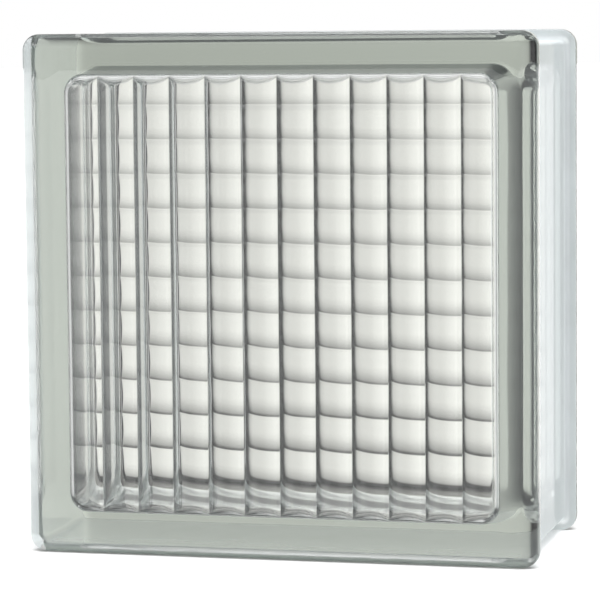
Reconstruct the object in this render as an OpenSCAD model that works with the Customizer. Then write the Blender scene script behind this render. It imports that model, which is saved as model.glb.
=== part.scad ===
// Hollow glass block: two pressed halves, each a square dish, fused rim to rim at mid-depth.
// The front half carries upright flutes on its inside face, the rear half level ones.
// Axes: X across the face, Y through the block with the front face at -Y, Z up, base at Z = 0.

/* [Block] */
// Width of the face
block_w = 190; // [150:1:250]
// Height of the face
block_h = 190; // [150:1:250]
// Depth from the front face to the rear face
block_d = 95; // [80:1:110]
// Radius of the four corners, seen from the front
corner_r = 6; // [5.5:0.5:8]

/* [Rims and mortar channel] */
// Width of each rim, measured along the depth
rim_w = 8.5; // [7:0.5:12]
// Radius of the edge between the outer face and the rim
face_edge_r = 5; // [1:0.5:5.5]
// Depth of the channel that runs round the block between the rims
channel_depth = 4.25; // [3:0.25:4.75]
// Radius where the rim runs down into the channel
channel_fillet_r = 2.5; // [1:0.5:3]

/* [Cavity] */
// Glass from the rim's side to the cavity, at the bottom of the flutes
wall_at_face = 14.6; // [12:0.2:18]
// Glass from the rim's side to the cavity, at the seam
wall_at_seam = 11.25; // [9:0.25:12]
// Thickness of the face glass at the bottom of a flute
face_glass = 8; // [6:0.5:12]
// Radius between the cavity's side and the bottom of the flutes
cavity_fillet_r = 5; // [2.5:0.5:6.5]
// Radius of the cavity's four corners, at the bottom of the flutes
cavity_corner_r = 7; // [5.5:0.5:10]

/* [Flutes] */
// Number of flutes across each inside face
flute_count = 12; // [8:1:16]
// Height of the ridges between the flutes
flute_depth = 1.9; // [1:0.1:2.4]

/* [Part] */
// Which piece to draw

/* [Hidden] */
half_d = block_d / 2;
half_w = block_w / 2;
half_h = block_h / 2;
cavity_half_w = half_w - wall_at_face;
cavity_half_h = half_h - wall_at_face;
draft_out = wall_at_face - wall_at_seam;      // how far the cavity widens towards the seam
seam_over = 1;                                // cutter carried past the seam
flute_over = 5;                               // flute cylinders carried past the cavity
slab_clear = 0.5;                             // open space starts this far above the ridges
floor_v = face_glass - 0.3;                   // the fillet's floor, so that flutes run out into it
glass_colour = [0.80, 0.88, 0.84, 0.35];
$fn = 96;

// Section of the outside: u outwards from the corner's centre,
// v inwards from the outer face.
module outer_section() {
    difference() {
        square([corner_r, rim_w]);
        translate([corner_r - face_edge_r, 0])
            difference() {
                square(face_edge_r);
                translate([0, face_edge_r]) circle(face_edge_r);
            }
    }
    square([corner_r - channel_depth, half_d]);
    translate([corner_r - channel_depth, rim_w])
        difference() {
            square(channel_fillet_r);
            translate([channel_fillet_r, channel_fillet_r]) circle(channel_fillet_r);
        }
}

// The cavity's section: a floor just under the flute bottoms, a fillet, then a side that
// opens out to the seam.
module cavity_section() {
    side_v = floor_v + cavity_fillet_r;
    end_v = half_d + seam_over;
    end_u = cavity_corner_r + draft_out * (end_v - side_v) / (half_d - side_v);
    difference() {
        polygon([
            [0, floor_v], [cavity_corner_r, floor_v], [cavity_corner_r, side_v],
            [end_u, end_v], [0, end_v]
        ]);
        translate([cavity_corner_r - cavity_fillet_r, floor_v])
            difference() {
                square(cavity_fillet_r);
                translate([0, cavity_fillet_r]) circle(cavity_fillet_r);
            }
    }
}

// A solid whose side has the child section all the way round a rectangle of half-size
// (hw, hh) measured to the corner centres, filled in the middle from v0 to v1.
module round_the_square(hw, hh, v0, v1) {
    for (sx = [0, 1], sy = [0, 1])
        mirror([sx, 0, 0]) mirror([0, sy, 0])
            translate([hw, hh, 0]) rotate_extrude(angle = 90) children();
    for (s = [0, 1]) {
        mirror([s, 0, 0]) translate([hw, hh, 0]) rotate([90, 0, 0])
            linear_extrude(2 * hh) children();
        mirror([0, s, 0]) translate([-hw, hh, 0]) rotate([90, 0, 90])
            linear_extrude(2 * hw) children();
    }
    translate([-hw, -hh, v0]) cube([2 * hw, 2 * hh, v1 - v0]);
}

// Flutes run along local Y; reach is half the width they cover, length half their run.
module flute_space(reach, length) {
    pitch = 2 * reach / flute_count;
    flute_r = (pitch * pitch / 4 + flute_depth * flute_depth) / (2 * flute_depth);
    for (i = [0 : flute_count - 1])
        translate([-reach + (i + 0.5) * pitch, length, face_glass + flute_r])
            rotate([90, 0, 0]) cylinder(r = flute_r, h = 2 * length);
    slab_v = face_glass + flute_depth + slab_clear;
    translate([-reach - flute_over, -length, slab_v])
        cube([2 * (reach + flute_over), 2 * length, half_d + seam_over - slab_v]);
}

// One half with its outer face on local Z = 0 and its seam at local Z = half_d.
module pressed_half(upright) {
    difference() {
        round_the_square(half_w - corner_r, half_h - corner_r, 0, half_d) outer_section();
        intersection() {
            round_the_square(cavity_half_w - cavity_corner_r, cavity_half_h - cavity_corner_r,
                floor_v, half_d + seam_over) cavity_section();
            if (upright) flute_space(cavity_half_w, cavity_half_h + flute_over);
            else rotate([0, 0, 90]) flute_space(cavity_half_h, cavity_half_w + flute_over);
        }
    }
}

module front_half() {
    color(glass_colour)
        translate([0, -half_d, half_h]) rotate([-90, 0, 0]) pressed_half(true);
}

module rear_half() {
    color(glass_colour)
        translate([0, half_d, half_h]) rotate([90, 0, 0]) pressed_half(false);
}

front_half();
rear_half();
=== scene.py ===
"""Looks of the hollow glass block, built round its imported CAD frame.

The two pressed halves are fused in the real block, so they are shown as one glass body: an
outer skin and the skin of the sealed cavity. Both skins follow the frame's sizes. Lengths are
in metres; sizes that are thought of in millimetres are written as so many times MM.
"""
import math

import bmesh
import bpy
import numpy as np
from mathutils import Matrix, Vector


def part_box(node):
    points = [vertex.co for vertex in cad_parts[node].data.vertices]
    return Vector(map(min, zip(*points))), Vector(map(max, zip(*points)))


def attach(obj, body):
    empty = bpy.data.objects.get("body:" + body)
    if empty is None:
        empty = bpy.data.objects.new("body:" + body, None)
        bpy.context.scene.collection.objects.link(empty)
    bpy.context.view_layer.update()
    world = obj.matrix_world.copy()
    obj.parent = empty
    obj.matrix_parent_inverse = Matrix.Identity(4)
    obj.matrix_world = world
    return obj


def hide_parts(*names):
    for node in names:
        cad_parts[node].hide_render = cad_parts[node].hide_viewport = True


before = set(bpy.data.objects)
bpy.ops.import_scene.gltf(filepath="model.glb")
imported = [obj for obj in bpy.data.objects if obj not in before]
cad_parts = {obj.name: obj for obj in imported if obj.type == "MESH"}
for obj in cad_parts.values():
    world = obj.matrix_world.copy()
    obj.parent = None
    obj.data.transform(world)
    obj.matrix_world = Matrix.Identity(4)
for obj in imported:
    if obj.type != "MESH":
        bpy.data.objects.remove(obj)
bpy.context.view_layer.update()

MM = 0.001

# ---- the block's sizes -------------------------------------------------------------------
front_low, front_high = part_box("front_half")
rear_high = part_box("rear_half")[1]
HALF_W = (front_high[0] - front_low[0]) / 2
HALF_H = (front_high[2] - front_low[2]) / 2
HALF_D = (rear_high[1] - front_low[1]) / 2
MID_X = (front_high[0] + front_low[0]) / 2
MID_Y = (rear_high[1] + front_low[1]) / 2
MID_Z = (front_high[2] + front_low[2]) / 2

CORNER_R = 6.0 * MM        # corners of the outline
RIM_W = 8.5 * MM           # rims, along the depth
FACE_EDGE_R = 5.0 * MM     # edge between face and rim
CHANNEL = 4.25 * MM        # mortar channel, below the rims
CHANNEL_FILLET = 2.5 * MM
STEP_EDGE_R = 0.5 * MM     # sharp corner where the rim drops into the channel

WALL_AT_FACE = 14.6 * MM
WALL_AT_SEAM = 11.25 * MM
FACE_GLASS = 8.0 * MM      # at the bottom of a flute
CAVITY_FILLET = 5.0 * MM
CAVITY_CORNER_R = 7.0 * MM
FILLET_DROP = 0.3 * MM     # the fillet's floor lies this far under the flute bottoms

FLUTES = 12
FLUTE_DEPTH = 1.9 * MM
RIDGE_BLEND = 0.18 * MM    # how softly two flutes meet at a ridge
FILLET_BLEND = 0.35 * MM   # how softly a flute runs out into the cavity's fillet

FACE_CROWN = 1.6 * MM      # how far the faces fall away towards their edges
CROWN_W = 11.0 * MM
CROWN_CORNER = 8.0 * MM    # how softly two sides of the crown meet at a corner
RIM_HOLD = 1.0 * MM        # the last of the rim, which the crown leaves alone
FACE_WAVE = 0.025 * MM     # slow unevenness of pressed glass
WALL_WAVE = 0.07 * MM
RIDGE_WANDER = 0.08 * MM   # how far a ridge strays from straight
WAVE_SEED = 7
WAVE_LENGTHS = np.array([7, 9, 12, 16, 22]) * MM

# ---- how finely the skins are cut --------------------------------------------------------
FLAT_POINTS = 4            # on a flat strip next to a face's edge
EDGE_STEPS = 10
STEP_EDGE_STEPS = 4
CHANNEL_FILLET_STEPS = 6
WALL_POINTS = 5
CAVITY_FLAT_POINTS = 5
CAVITY_FILLET_STEPS = 10
OUTER_CORNER_STEPS = 12
CAVITY_CORNER_STEPS = 10
CROWN_POINTS = 7
MIDDLE_POINTS = 45
RIDGE_OFFSETS = np.array([0, 0.2, 0.5, 1.2, 2.6, 4.6]) * MM
END_GAP = 0.5 * MM         # least distance from a flute's samples to the end of their row
SAME_PLACE = 1e-9
KEYS_PER_METRE = 1e7       # points are joined when they agree to 0.1 micrometre


def smooth_min(a, b, k):
    """The lower of two heights, with the corner between them rounded over k."""
    h = np.clip(0.5 + 0.5 * (b - a) / k, 0, 1)
    return b * (1 - h) + a * h - k * h * (1 - h)


def smooth_max(a, b, k):
    return -smooth_min(-a, -b, k)


wave_draw = np.random.default_rng(WAVE_SEED)
WAVES = [
    (wave_draw.normal(size=3) / length, wave_draw.uniform(0, 2 * math.pi))
    for length in WAVE_LENGTHS
]


def unevenness(x, z, depth):
    """A slow random field from -1 to 1."""
    total = sum(math.sin(k[0] * x + k[1] * z + k[2] * depth + phase) for k, phase in WAVES)
    return total / len(WAVES)


def flute_height(s, reach):
    """Glass above the flute bottoms, s from the face's middle; the flutes cover reach each way."""
    pitch = 2 * reach / FLUTES
    radius = (pitch ** 2 / 4 + FLUTE_DEPTH ** 2) / (2 * FLUTE_DEPTH)
    s = np.clip(s, -reach, reach)
    mid = (np.floor(s / pitch) + 0.5) * pitch
    off = s - mid

    def scoop(t):
        return radius - np.sqrt(np.maximum(radius ** 2 - t ** 2, 0))
    return smooth_min(scoop(off), scoop(pitch - np.abs(off)), RIDGE_BLEND)


# ---- mesh tools --------------------------------------------------------------------------
class Skin:
    """Collects points and faces, joining points that fall on the same place."""

    def __init__(self):
        self.points, self.faces, self.index = [], [], {}

    def point(self, p):
        key = tuple(round(float(c) * KEYS_PER_METRE) for c in p)
        if key not in self.index:
            self.index[key] = len(self.points)
            self.points.append([float(c) for c in p])
        return self.index[key]

    def grid(self, table, flip):
        """Faces over a table of points [row][column]."""
        ids = [[self.point(p) for p in row] for row in table]
        for upper, lower in zip(ids, ids[1:]):
            for k in range(len(upper) - 1):
                ring = [upper[k], upper[k + 1], lower[k + 1], lower[k]]
                ring = [v for n, v in enumerate(ring) if v != ring[n - 1]]
                if len(set(ring)) > 2:
                    self.faces.append(ring[::-1] if flip else ring)


def perimeter(xs, zs, corner_steps):
    """Base points and outward directions once round a core rectangle, anticlockwise."""
    hx, hz = xs[-1], zs[-1]
    out = []
    sides = [
        ([(x, hz) for x in xs[::-1]], (0, 1), 90),
        ([(-hx, z) for z in zs[::-1]], (-1, 0), 180),
        ([(x, -hz) for x in xs], (0, -1), 270),
        ([(hx, z) for z in zs], (1, 0), 360),
    ]
    for bases, normal, start in sides:
        out += [(b, normal) for b in bases]
        for k in range(1, corner_steps):
            a = math.radians(start + 90 * k / corner_steps)
            out.append((bases[-1], (math.cos(a), math.sin(a))))
    out.append(out[0])
    return out


def sweep(skin, xs, zs, corner_steps, profile, flip, shape):
    """Carries a profile of (u, depth) round the core rectangle and fills both ends.
    shape(x, z, depth) returns the finished point."""
    loop = perimeter(xs, zs, corner_steps)
    table = []
    for u, depth in profile:
        table.append([
            shape(bx + nx * u, bz + nz * u, depth) for (bx, bz), (nx, nz) in loop
        ])
    skin.grid(table, flip)
    first, last = profile[0][1], profile[-1][1]
    skin.grid([[shape(x, z, first) for x in xs] for z in zs], flip)
    skin.grid([[shape(x, z, last) for x in xs] for z in zs], not flip)


def arc(cu, cv, radius, start, end, steps):
    return [
        (cu + radius * math.cos(math.radians(a)), cv + radius * math.sin(math.radians(a)))
        for a in np.linspace(start, end, steps + 1)
    ]


def both_ends(half):
    """The whole profile from a front half that ends at the seam (depth 0)."""
    return half + [(u, -v) for u, v in half[::-1] if abs(v) > SAME_PLACE]


# ---- outer skin --------------------------------------------------------------------------
def outer_profile():
    """From the front face's flat, over the rim and through the channel, to the seam."""
    face = -HALF_D
    floor_u = CORNER_R - CHANNEL
    rim_end = face + RIM_W
    edge_u = CORNER_R - FACE_EDGE_R
    flat = [(u, face) for u in np.linspace(0, edge_u, FLAT_POINTS)[:-1]]
    edge = arc(edge_u, face + FACE_EDGE_R, FACE_EDGE_R, -90, 0, EDGE_STEPS)
    step = arc(CORNER_R - STEP_EDGE_R, rim_end - STEP_EDGE_R, STEP_EDGE_R, 0, 90, STEP_EDGE_STEPS)
    fillet = arc(floor_u + CHANNEL_FILLET, rim_end + CHANNEL_FILLET, CHANNEL_FILLET,
                 270, 180, CHANNEL_FILLET_STEPS)
    wall = [(floor_u, v) for v in np.linspace(fillet[-1][1], 0, WALL_POINTS)[1:]]
    return both_ends(flat + edge + step + fillet + wall)


def crown(x, z):
    """How far the face has fallen away at this place."""
    over_x = abs(x) - (HALF_W - CORNER_R)
    over_z = abs(z) - (HALF_H - CORNER_R)
    beyond = math.hypot(max(over_x, 0), max(over_z, 0))
    beyond += min(float(smooth_max(over_x, over_z, CROWN_CORNER)), 0)
    inset = CORNER_R - beyond
    return FACE_CROWN * max(1 - inset / CROWN_W, 0) ** 2


def outer_point(x, z, depth):
    """The crown and the unevenness only ever take glass away."""
    dent = (unevenness(x, z, depth) + 1) / 2
    start = HALF_D - RIM_W + RIM_HOLD
    share = max(abs(depth) - start, 0) / (HALF_D - start)
    sunk = abs(depth) - share * (crown(x, z) + FACE_WAVE * dent)
    shrink = 1 - WALL_WAVE * dent / HALF_W
    return (MID_X + x * shrink, MID_Y + math.copysign(sunk, depth), MID_Z + z * shrink)


# ---- cavity skin -------------------------------------------------------------------------
CAVITY_W = HALF_W - WALL_AT_FACE
CAVITY_H = HALF_H - WALL_AT_FACE


def cavity_profile():
    """From the flat under the front flutes, round the fillet and up the drafted side."""
    floor = -HALF_D + FACE_GLASS - FILLET_DROP
    flat_end = CAVITY_CORNER_R - CAVITY_FILLET
    side = floor + CAVITY_FILLET
    flat = [(u, floor) for u in np.linspace(0, flat_end, CAVITY_FLAT_POINTS)[:-1]]
    fillet = arc(flat_end, side, CAVITY_FILLET, -90, 0, CAVITY_FILLET_STEPS)
    wall = []
    for t in np.linspace(0, 1, WALL_POINTS)[1:]:
        wall.append((CAVITY_CORNER_R + t * (WALL_AT_FACE - WALL_AT_SEAM), side * (1 - t)))
    return both_ends(flat + fillet + wall)


def cavity_point(x, z, depth):
    """Flutes upright on the front inside face, level on the rear one."""
    wave = unevenness(x, z, depth)
    if depth < 0:
        glass = FACE_GLASS + flute_height(x + RIDGE_WANDER * unevenness(z, z, x), CAVITY_W)
        depth = -HALF_D + smooth_max(depth + HALF_D, glass + FACE_WAVE * wave, FILLET_BLEND)
    else:
        glass = FACE_GLASS + flute_height(z + RIDGE_WANDER * unevenness(x, x, z), CAVITY_H)
        depth = HALF_D - smooth_max(HALF_D - depth, glass + FACE_WAVE * wave, FILLET_BLEND)
    grow = 1 + WALL_WAVE * wave / CAVITY_W
    return (MID_X + x * grow, MID_Y + depth, MID_Z + z * grow)


def fluted_samples(reach, core):
    """Places along a face: close together at the ridges, wide apart in the scoops."""
    pitch = 2 * reach / FLUTES
    marks = set()
    for k in range(FLUTES + 1):
        ridge = -reach + k * pitch
        marks |= {ridge + d for d in RIDGE_OFFSETS} | {ridge - d for d in RIDGE_OFFSETS}
        marks.add(ridge + pitch / 2)
    inside = sorted(m for m in marks if abs(m) < core - END_GAP)
    return [-core] + inside + [core]


def crowned_samples(core):
    """Places along an outer face: closer together where it falls away."""
    edge = [core - d for d in np.linspace(0, CROWN_W, CROWN_POINTS)[:-1]]
    middle = list(np.linspace(-core + CROWN_W, core - CROWN_W, MIDDLE_POINTS))
    return [-e for e in edge] + middle + edge[::-1]


def closed_skin(skin, inwards):
    """A bmesh of the skin, its normals facing away from the glass."""
    raw = bpy.data.meshes.new("skin")
    raw.from_pydata(skin.points, [], skin.faces)
    shell = bmesh.new()
    shell.from_mesh(raw)
    bpy.data.meshes.remove(raw)
    bmesh.ops.recalc_face_normals(shell, faces=shell.faces)
    if (shell.calc_volume(signed=True) < 0) != inwards:
        bmesh.ops.reverse_faces(shell, faces=shell.faces)
    return shell


def build_block():
    """The outer skin and the cavity's skin as one mesh."""
    outer, cavity = Skin(), Skin()
    core_w, core_h = HALF_W - CORNER_R, HALF_H - CORNER_R
    sweep(outer, crowned_samples(core_w), crowned_samples(core_h),
          OUTER_CORNER_STEPS, outer_profile(), False, outer_point)
    core_w, core_h = CAVITY_W - CAVITY_CORNER_R, CAVITY_H - CAVITY_CORNER_R
    sweep(cavity, fluted_samples(CAVITY_W, core_w), fluted_samples(CAVITY_H, core_h),
          CAVITY_CORNER_STEPS, cavity_profile(), True, cavity_point)
    mesh = bpy.data.meshes.new("glass_block")
    both = closed_skin(outer, False)
    inner = closed_skin(cavity, True)
    inner.to_mesh(mesh)
    both.from_mesh(mesh)
    both.to_mesh(mesh)
    inner.free()
    both.free()
    mesh.polygons.foreach_set("use_smooth", [True] * len(mesh.polygons))
    block = bpy.data.objects.new("glass_block", mesh)
    bpy.context.collection.objects.link(block)
    return block


# ---- materials ---------------------------------------------------------------------------
GLASS_IOR = 1.52
GLASS_TINT = (0.503, 0.56, 0.512)
GLASS_DENSITY = 14.0       # absorption a metre
COATED_W = 9.0 * MM        # every coated face lies within this of the outline
COAT_LAP = 0.25 * MM       # how far the coating runs past the channel onto the rim's corner
COAT_COVER = 0.6           # share of the light that the coating scatters
COAT_FROM_INSIDE = 0.32    # how much of it shows through the glass, against from outside
COAT_UNEVEN = 0.15         # how much the cover varies from place to place
COAT_NOISE_SCALE = 60.0
COAT_NOISE_DETAIL = 3.0
COAT_COLOUR = (0.90, 0.96, 0.98)
COAT_PASSES = 0.25         # share of the scattered light that goes through
COAT_ROUGHNESS = 0.04      # of the glass under the coating
FLOOR_GREY = 0.86
FLOOR_ROUGHNESS = 0.7
MIX_SOCKETS = (0, 6, 7)    # a colour mix's factor and two colours
MIX_RESULT = 2


def math_node(nodes, links, operation, first, *rest):
    node = nodes.new("ShaderNodeMath")
    node.operation = operation
    for k, value in enumerate((first, *rest)):
        if isinstance(value, (int, float)):
            node.inputs[k].default_value = value
        else:
            links.new(value, node.inputs[k])
    return node.outputs[0]


def ramp(nodes, links, value, stops):
    """Colour at value (radians), even between the stops, each (degrees, level, tint)."""
    low, high = stops[0][0], stops[-1][0]
    scaled = nodes.new("ShaderNodeMapRange")
    scaled.inputs["From Min"].default_value = math.radians(low)
    scaled.inputs["From Max"].default_value = math.radians(high)
    links.new(value, scaled.inputs["Value"])
    node = nodes.new("ShaderNodeValToRGB")
    node.color_ramp.interpolation = "LINEAR"
    marks = node.color_ramp.elements
    while len(marks) < len(stops):
        marks.new(0.5)    # the place is set below
    for mark, (angle, level, tint) in zip(marks, stops):
        mark.position = (angle - low) / (high - low)
        mark.color = [level * channel for channel in tint] + [1]
    links.new(scaled.outputs["Result"], node.inputs["Fac"])
    return node.outputs["Color"]


def mix_colours(nodes, links, kind, factor, first, second):
    node = nodes.new("ShaderNodeMix")
    node.data_type = "RGBA"
    node.blend_type = kind
    for place, value in zip(MIX_SOCKETS, (factor, first, second)):
        socket = node.inputs[place]
        if isinstance(value, (int, float)):
            socket.default_value = value
        elif isinstance(value, tuple):
            socket.default_value = value + (1,)
        else:
            links.new(value, socket)
    return node.outputs[MIX_RESULT]


def mix_shaders(nodes, links, factor, first, second):
    node = nodes.new("ShaderNodeMixShader")
    for socket, value in zip(node.inputs, (factor, first, second)):
        if isinstance(value, float):
            socket.default_value = value
        else:
            links.new(value, socket)
    return node.outputs[0]


def new_material(name):
    material = bpy.data.materials.new(name)
    material.use_nodes = True
    nodes = material.node_tree.nodes
    return material, nodes, material.node_tree.links, nodes["Principled BSDF"]


def glass_material():
    """Clear glass, with a thin pale coating on the mortar channel that the mortar grips."""
    material, nodes, links, shader = new_material("clear_glass")
    coords = nodes.new("ShaderNodeTexCoord").outputs["Object"]
    split = nodes.new("ShaderNodeSeparateXYZ")
    links.new(coords, split.inputs[0])
    x, y, z = (split.outputs[k] for k in "XYZ")

    def math_of(operation, first, *rest):
        return math_node(nodes, links, operation, first, *rest)

    def off_middle(value, middle):
        return math_of("ABSOLUTE", math_of("SUBTRACT", value, middle))
    reach = math_of("MAXIMUM", off_middle(x, MID_X), off_middle(z, MID_Z))
    outside = math_of("GREATER_THAN", reach, HALF_W - COATED_W)
    between = math_of("LESS_THAN", off_middle(y, MID_Y), HALF_D - RIM_W + COAT_LAP)
    coated = math_of("MULTIPLY", outside, between)

    noise = nodes.new("ShaderNodeTexNoise")
    noise.inputs["Scale"].default_value = COAT_NOISE_SCALE
    noise.inputs["Detail"].default_value = COAT_NOISE_DETAIL
    links.new(coords, noise.inputs["Vector"])
    least = COAT_COVER - COAT_UNEVEN / 2
    uneven = math_of("MULTIPLY_ADD", noise.outputs["Fac"], COAT_UNEVEN, least)
    inside = nodes.new("ShaderNodeNewGeometry").outputs["Backfacing"]
    shown = math_of("MULTIPLY_ADD", inside, COAT_FROM_INSIDE - 1.0, 1.0)
    cover = math_of("MULTIPLY", math_of("MULTIPLY", coated, shown), uneven)

    shader.inputs["Base Color"].default_value = (1, 1, 1, 1)
    shader.inputs["Transmission Weight"].default_value = 1.0
    links.new(math_of("MULTIPLY", coated, COAT_ROUGHNESS), shader.inputs["Roughness"])
    shader.inputs["IOR"].default_value = GLASS_IOR

    diffuse = nodes.new("ShaderNodeBsdfDiffuse")
    diffuse.inputs["Color"].default_value = COAT_COLOUR + (1,)
    translucent = nodes.new("ShaderNodeBsdfTranslucent")
    translucent.inputs["Color"].default_value = COAT_COLOUR + (1,)
    coat = mix_shaders(nodes, links, COAT_PASSES, diffuse.outputs[0], translucent.outputs[0])
    both = mix_shaders(nodes, links, cover, shader.outputs[0], coat)
    links.new(both, nodes["Material Output"].inputs["Surface"])

    volume = nodes.new("ShaderNodeVolumeAbsorption")
    volume.inputs["Color"].default_value = GLASS_TINT + (1,)
    volume.inputs["Density"].default_value = GLASS_DENSITY
    links.new(volume.outputs["Volume"], nodes["Material Output"].inputs["Volume"])
    return material


def floor_material():
    material, nodes, links, shader = new_material("pale_floor")
    shader.inputs["Base Color"].default_value = (FLOOR_GREY, FLOOR_GREY, FLOOR_GREY, 1)
    shader.inputs["Roughness"].default_value = FLOOR_ROUGHNESS
    return material


# ---- stage -------------------------------------------------------------------------------
FLOOR_R = 12.0
NEUTRAL = (1.0, 1.0, 1.0)
WARM = (1.0, 1.0, 0.945)
COOL = (0.93, 1.0, 1.0)
# The studio as the glass sees it: degrees clockwise from straight behind, level, tint.
# The dark curtain at the left draws the dark lines between the flutes.
WALLS = [
    (-180, 0.12, NEUTRAL), (-152, 0.12, NEUTRAL), (-140, 0.8, NEUTRAL), (-105, 0.9, NEUTRAL),
    (-88, 0.35, NEUTRAL), (-75, 0.8, NEUTRAL), (-60, 0.5, NEUTRAL), (-52, 0.04, NEUTRAL),
    (-46, 0.0, NEUTRAL), (-34, 0.0, WARM), (-32, 0.05, WARM), (-27.5, 0.66, WARM),
    (-24, 0.75, WARM), (-12, 0.87, WARM), (-5, 0.98, WARM), (0, 1.08, WARM), (25, 1.1, WARM),
    (45, 1.0, COOL), (60, 0.4, NEUTRAL), (76, 0.4, NEUTRAL), (88, 1.6, NEUTRAL),
    (112, 1.6, NEUTRAL), (130, 1.1, NEUTRAL), (160, 0.9, NEUTRAL), (172, 0.4, NEUTRAL),
    (180, 0.12, NEUTRAL)]
# Degrees above the horizon, level, tint
WALL_BY_HEIGHT = [
    (-42, 0.01, NEUTRAL), (-27, 0.03, NEUTRAL), (-23, 0.13, NEUTRAL), (-20.5, 0.46, NEUTRAL),
    (-16, 0.69, NEUTRAL), (-12, 0.89, NEUTRAL), (-7, 1.0, NEUTRAL), (8, 1.0, NEUTRAL),
    (20, 0.6, NEUTRAL), (40, 0.0, NEUTRAL)]
CEILING_AND_FLOOR = [
    (-80, 1.2, NEUTRAL), (-67, 0.01, NEUTRAL), (-20, 0.0, NEUTRAL), (10, 0.0, NEUTRAL),
    (25, 0.35, NEUTRAL), (45, 0.6, NEUTRAL), (65, 1.2, NEUTRAL)]
FLOOR_SIDES = 64


def build_floor():
    """A pale disc that the glass and the coating don't see."""
    mesh = bpy.data.meshes.new("floor")
    rim = [
        (FLOOR_R * math.cos(a), FLOOR_R * math.sin(a), 0)
        for a in np.linspace(0, 2 * math.pi, FLOOR_SIDES + 1)[:-1]
    ]
    mesh.from_pydata(rim, [], [tuple(range(len(rim)))])
    floor = bpy.data.objects.new("floor", mesh)
    bpy.context.collection.objects.link(floor)
    floor.data.materials.append(floor_material())
    floor.visible_transmission = False
    floor.visible_diffuse = False
    floor.visible_shadow = False


def build_world():
    """A bright wall behind the block, a dark curtain to its left, softer light all round."""
    world = bpy.data.worlds.new("studio")
    bpy.context.scene.world = world
    world.use_nodes = True
    nodes, links = world.node_tree.nodes, world.node_tree.links
    coords = nodes.new("ShaderNodeTexCoord")
    split = nodes.new("ShaderNodeSeparateXYZ")
    links.new(coords.outputs["Generated"], split.inputs[0])
    x, y, z = (split.outputs[k] for k in "XYZ")
    azimuth = math_node(nodes, links, "ARCTAN2", x, y)
    elevation = math_node(nodes, links, "ARCSINE", z)
    walls = ramp(nodes, links, azimuth, WALLS)
    height = ramp(nodes, links, elevation, WALL_BY_HEIGHT)
    ceiling = ramp(nodes, links, elevation, CEILING_AND_FLOOR)
    lit = mix_colours(nodes, links, "MULTIPLY", 1.0, walls, height)
    both = mix_colours(nodes, links, "ADD", 1.0, lit, ceiling)
    path = nodes.new("ShaderNodeLightPath")
    shown = mix_colours(nodes, links, "MIX", path.outputs["Is Camera Ray"], both, NEUTRAL)
    links.new(shown, nodes["Background"].inputs["Color"])
    nodes["Background"].inputs["Strength"].default_value = 1.0


# Lamps: name, the way the light travels, its spread in degrees, strength
LAMPS = [
    ("key", (-0.15, 0.5, -1.0), 50, 3.6),
    ("left_fill", (1.0, 0.1, 0.05), 40, 2.8),
    ("right_fill", (-1.0, 0.5, 0.05), 40, 0.4),
    ("low_fill", (0.0, 0.1, 1.0), 40, 4.0),
]


def sun_light(name, direction, angle, strength):
    """A soft lamp that lights the coating and the floor but doesn't show in the glass."""
    data = bpy.data.lights.new(name, "SUN")
    data.angle = math.radians(angle)
    data.energy = strength
    lamp = bpy.data.objects.new(name, data)
    bpy.context.collection.objects.link(lamp)
    lamp.visible_transmission = False
    lamp.visible_glossy = False
    lamp.rotation_euler = Vector(direction).to_track_quat("-Z", "Y").to_euler()


# ---- camera ------------------------------------------------------------------------------
CAMERA_AZIMUTH = 14.47
CAMERA_ELEVATION = 5.31
CAMERA_ROLL = -0.53
CAMERA_DISTANCE = 1.109
CAMERA_TARGET = (-0.0006, -0.0075, 0.0910)
FOCAL_PX = 2995.0
FRAME_PX = 600.0
SENSOR_MM = 36.0
CLIP = (0.01, 50)


def build_camera():
    az, el = math.radians(CAMERA_AZIMUTH), math.radians(CAMERA_ELEVATION)
    back = Vector((math.sin(az) * math.cos(el), -math.cos(az) * math.cos(el), math.sin(el)))
    data = bpy.data.cameras.new("camera")
    data.sensor_width = SENSOR_MM
    data.lens = SENSOR_MM * FOCAL_PX / FRAME_PX
    data.clip_start, data.clip_end = CLIP
    camera = bpy.data.objects.new("camera", data)
    bpy.context.collection.objects.link(camera)
    right = (-back).cross(Vector((0, 0, 1))).normalized()
    up = right.cross(-back)
    roll = math.radians(CAMERA_ROLL)
    r = right * math.cos(roll) + up * math.sin(roll)
    u = -right * math.sin(roll) + up * math.cos(roll)
    basis = Matrix((r, u, back)).transposed().to_4x4()
    place = Vector(CAMERA_TARGET) + back * CAMERA_DISTANCE
    camera.matrix_world = Matrix.Translation(place) @ basis
    bpy.context.scene.camera = camera


block = build_block()
block.data.materials.append(glass_material())
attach(block, "root")
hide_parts("front_half", "rear_half")

build_floor()
build_world()
for lamp in LAMPS:
    sun_light(*lamp)
build_camera()

scene = bpy.context.scene
scene.view_settings.view_transform = "Standard"
scene.cycles.use_denoising = True
scene.cycles.max_bounces = 32
scene.cycles.transmission_bounces = 32
scene.cycles.glossy_bounces = 16
scene.cycles.transparent_max_bounces = 16
scene.cycles.caustics_refractive = True
scene.cycles.caustics_reflective = True
